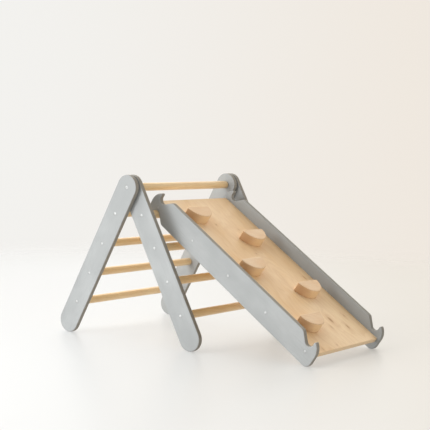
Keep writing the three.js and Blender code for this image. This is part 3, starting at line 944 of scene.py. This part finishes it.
def make_ladders():
    bores = [(SHANK_RADIUS + CLEARANCE, RUNG_BORE_DEPTH)]
    seed = 1
    for ladder in ("back_ladder", "ramp_ladder"):
        for kind in ("outer", "inner"):
            make_leg(ladder, kind, seed)
            seed += 1
        for rung in numbered(ladder + "_rung"):
            make_dowel(rung, bores, seed)
            seed += 1
    bolt_bore = (BOLT_RADIUS + CLEARANCE, RUNG_BORE_DEPTH)
    insert_bore = (INSERT_RADIUS + CLEARANCE, INSERT_LENGTH + CLEARANCE)
    make_dowel("top_rung", [bolt_bore, insert_bore], seed)


def make_ramp():
    make_side("ramp_near_side", "ramp_near_screw", -1, 21)
    # the far board is painted cooler, to offset the warm light that the panel throws onto it
    make_side("ramp_far_side", "ramp_far_screw", 1, 22, PAINTED_BOUNCE_OFFSET)
    make_panel()
    for i, block in enumerate(numbered("climbing_block")):
        make_block(block, 31 + i)


def block_screw_matrix(node):
    """Where a block's screw goes: up through the panel, with its head underneath."""
    low, high = local_box(node, ramp_matrix())
    centre = (low + high) / 2
    at = Vector((centre.x, centre.y, low.z + CROWN))
    return ramp_matrix() @ Matrix.Translation(at) @ Matrix.Rotation(math.pi / 2, 4, "X")


def side_fastener_matrix(node):
    """Where a screw or bolt along Y goes: pointing inward, with its head on the outward face."""
    low, high = depth_range(node)
    centre = middle(node)
    if centre.y < 0:
        return Matrix.Translation((centre.x, low + CROWN, centre.z))
    facing_out = Matrix.Translation((centre.x, high - CROWN, centre.z))
    return facing_out @ Matrix.Rotation(math.pi, 4, "Z")


def make_fasteners():
    """Every screw and bolt. The side boards' screws and the bolts look duller in the photograph, and get a
    copy of the zinc that is only darker.
    """
    zinc = turned_metal("zinc_plate", srgb(216, 217, 216), srgb(203, 204, 205), 0.5, 0.55)
    darker_zinc = turned_metal("dull_zinc_plate", srgb(204, 205, 204), srgb(190, 191, 192), 0.5, 0.55)
    cross = cross_recess(1.0 * MM, 4.6 * MM, 1.3 * MM)
    screw = fastener_mesh("wood_screw", "ramp_near_screw_1", HEAD_RADIUS, HEAD_DEPTH, SHANK_RADIUS, cross)
    block_cross = cross_recess(1.1 * MM, 4.6 * MM, 1.4 * MM)
    block_sizes = (BLOCK_HEAD_RADIUS, HEAD_DEPTH, BLOCK_SHANK_RADIUS)
    block_screw = fastener_mesh("block_screw", "block_screw_1", *block_sizes, block_cross)
    bolt_sizes = (BOLT_HEAD_RADIUS, BOLT_HEAD_DEPTH, BOLT_RADIUS)
    bolt = fastener_mesh("pivot_bolt", "near_pivot_bolt", *bolt_sizes, hex_recess(4 * MM, 2.2 * MM))
    darker_screw = screw.copy()  # a mesh holds one material, so the ramp's darker screws need their own
    meshes = {"block_screw": block_screw, "near_pivot_bolt": bolt, "far_pivot_bolt": bolt}
    for node in sorted(n for n in BODY_OF if SLOT_OF[n] == "zinc_steel" and not n.endswith("_pin")):
        stem = node.rpartition("_")[0]
        matrix = block_screw_matrix(node) if stem == "block_screw" else side_fastener_matrix(node)
        mesh = meshes.get(stem) or meshes.get(node) or screw
        if mesh == screw and BODY_OF[node] == "ramp":
            mesh = darker_screw
        place(node, mesh, matrix, zinc if mesh == screw else darker_zinc, "steel")
    return zinc


def make_hidden(zinc):
    """The stop pins and the inserts keep their CAD shape, because they lie inside the wood."""
    brass = turned_metal("turned_brass", srgb(205, 172, 100), srgb(186, 150, 84), 0.32)
    nylon = moulded_nylon("spacer_nylon")
    for side in ("near", "far"):
        node = side + "_pivot_spacer"
        low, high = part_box(node)
        outer = (high.z - low.z) / 2
        half = (high.y - low.y) / 2
        inner = BOLT_RADIUS + CLEARANCE
        rim = 0.5 * MM
        profile = [
            (inner, -half),
            (outer - rim, -half),
            (outer, rim - half),
            (outer, half - rim),
            (outer - rim, half),
            (inner, half),
        ]
        bm = lathe(profile, 48, closed=True)
        sharpen(bm)
        place(node, to_mesh(node + "_washer", bm), Matrix.Translation(middle(node)), nylon, "washer")
    kept = {"back_ladder_stop_pin": zinc, "ramp_ladder_stop_pin": zinc}
    kept.update({side + "_threaded_insert": brass for side in ("near", "far")})
    for node, material in kept.items():
        mesh_object = frame["nodes"][node]
        mesh_object.material_slots[0].material = material


# ---------------------------------------------------------------- studio

RIGHT = 38.2  # the direction of the picture's right-hand side, in degrees from +X
FLOOR_LEFT = srgb(246, 247, 247)
# painted light: the floor is painted warmer towards the picture's right, where the light is warmer
FLOOR_RIGHT_WARM_LIGHT = srgb(230, 226, 218)
FLOOR_PAINT = 0.37  # how much of the floor's colour comes from the light that falls on it
FLOOR_GLOW = 0.42
CEILING_LIGHT = 3.3  # its brightest part, where the walls are 1

CAMERA_PLACE = (2.4446, -3.1736, 0.7424)
CAMERA_TURN = math.radians(38.21)  # from +Y towards -X
CAMERA_TIP = math.radians(3.91)  # downwards
CAMERA_ROLL = math.radians(1.32)
CAMERA_LENS = 89.19  # millimetres, on a sensor 36 mm wide


def make_floor():
    """A pale, faintly glossy floor that glows a little, so that shadows stay light. It fades out far away."""
    bm = bmesh.new()
    bmesh.ops.create_circle(bm, cap_ends=True, segments=96, radius=6)
    floor = new_object("studio_floor", to_mesh("studio_floor", bm))
    n = Nodes("floor_paint")
    rightward = n.vector("DOT_PRODUCT", n.here, tuple(towards(RIGHT, 0)))
    # painted light: a warm tint across the floor towards the picture's right
    colour = n.blend(FLOOR_LEFT, FLOOR_RIGHT_WARM_LIGHT, n.spread(rightward, -0.7, 1.2))
    shader = n.tree.nodes.new("ShaderNodeBsdfPrincipled")
    n.feed(shader.inputs["Base Color"], n.blend((0, 0, 0, 1), colour, FLOOR_PAINT))
    n.feed(shader.inputs["Emission Color"], colour)
    shader.inputs["Emission Strength"].default_value = FLOOR_GLOW
    shader.inputs["Roughness"].default_value = 0.3
    shader.inputs["Specular IOR Level"].default_value = 0.12
    clear = n.tree.nodes.new("ShaderNodeBsdfTransparent")
    fade = n.tree.nodes.new("ShaderNodeMixShader")
    output = n.tree.nodes.new("ShaderNodeOutputMaterial")
    n.feed(fade.inputs["Fac"], n.spread(n.vector("LENGTH", n.here, (0, 0, 0)), 1.9, 4.0))
    n.feed(fade.inputs[1], shader.outputs[0])
    n.feed(fade.inputs[2], clear.outputs[0])
    n.feed(output.inputs["Surface"], fade.outputs[0])
    floor.data.materials.append(n.material)


def towards(azimuth, elevation):
    """The direction at these angles in degrees, counted from +X towards +Y and up from the floor."""
    azimuth, elevation = math.radians(azimuth), math.radians(elevation)
    flat = math.cos(elevation)
    return Vector((math.cos(azimuth) * flat, math.sin(azimuth) * flat, math.sin(elevation)))


def add_softbox(name, azimuth, elevation, width, height, watts, colour):
    """A soft light, 3 m away and aimed at the middle of the object."""
    light = bpy.data.lights.new(name, "AREA")
    light.shape = "RECTANGLE"
    light.size = width
    light.size_y = height
    light.energy = watts
    light.color = colour
    lamp = bpy.data.objects.new(name, light)
    aim = towards(azimuth, elevation)
    lamp.location = Vector((0, 0, 0.25)) + aim * 3
    lamp.rotation_euler = (-aim).to_track_quat("-Z", "Y").to_euler()
    bpy.context.scene.collection.objects.link(lamp)


def make_room():
    """White walls at eye level, and above them a ceiling that is bright at the picture's back left."""
    world = bpy.data.worlds.new("room")
    world.use_nodes = True
    tree = world.node_tree
    place = tree.nodes.new("ShaderNodeTexCoord")

    def reach(direction, low, high, to_low, to_high):
        along = tree.nodes.new("ShaderNodeVectorMath")
        along.operation = "DOT_PRODUCT"
        tree.links.new(place.outputs["Generated"], along.inputs[0])
        along.inputs[1].default_value = direction
        ramp = tree.nodes.new("ShaderNodeMapRange")
        ramp.interpolation_type = "SMOOTHSTEP"
        tree.links.new(along.outputs["Value"], ramp.inputs["Value"])
        for socket, number in zip(("From Min", "From Max", "To Min", "To Max"), (low, high, to_low, to_high)):
            ramp.inputs[socket].default_value = number
        return ramp.outputs["Result"]

    def combine(operation, first, second):
        node = tree.nodes.new("ShaderNodeMath")
        node.operation = operation
        tree.links.new(first, node.inputs[0])
        tree.links.new(second, node.inputs[1])
        return node.outputs[0]

    up = (0, 0, 1)
    walls = reach(up, 0.22, 0.53, 1, 0)
    ceiling = reach(up, 0.22, 0.53, 0, 1)
    lit_side = reach(towards(172, 0), -0.45, 0.8, 0, CEILING_LIGHT)
    strength = combine("ADD", walls, combine("MULTIPLY", ceiling, lit_side))
    tint = tree.nodes.new("ShaderNodeMix")
    tint.data_type = "RGBA"
    tree.links.new(reach(towards(RIGHT, 0), -0.25, 0.3, 0, 1), tint.inputs["Factor"])
    tint.inputs[6].default_value = srgb(243, 242, 239)
    tint.inputs[7].default_value = srgb(239, 231, 221)
    background = tree.nodes["Background"]
    tree.links.new(tint.outputs[2], background.inputs["Color"])
    tree.links.new(strength, background.inputs["Strength"])
    bpy.context.scene.world = world


def make_light():
    add_softbox("window", 248, 13, 1.0, 2.2, 50, (0.95, 0.98, 1))
    add_softbox("fill", 30, 42, 2.4, 2.4, 22, (1, 0.96, 0.9))
    make_room()
    bpy.context.scene.view_settings.view_transform = "Standard"
    bpy.context.scene.view_settings.look = "None"


def make_camera():
    """A long lens a little above the frame's top, looking slightly down and rolled a little."""
    turn, tip, roll = CAMERA_TURN, CAMERA_TIP, CAMERA_ROLL
    right = Vector((math.cos(turn), math.sin(turn), 0))
    ahead = Vector((-math.sin(turn) * math.cos(tip), math.cos(turn) * math.cos(tip), -math.sin(tip)))
    up = right.cross(ahead)
    rolled_right = right * math.cos(roll) + up * math.sin(roll)
    rolled_up = up * math.cos(roll) - right * math.sin(roll)
    camera_data = bpy.data.cameras.new("camera")
    camera_data.sensor_width = 36
    camera_data.lens = CAMERA_LENS
    camera = bpy.data.objects.new("camera", camera_data)
    axes = Matrix((rolled_right, rolled_up, -ahead)).transposed().to_4x4()
    camera.matrix_world = Matrix.Translation(CAMERA_PLACE) @ axes
    bpy.context.scene.collection.objects.link(camera)
    bpy.context.scene.camera = camera


make_camera()
make_ladders()
make_ramp()
make_hidden(make_fasteners())
make_floor()
make_light()
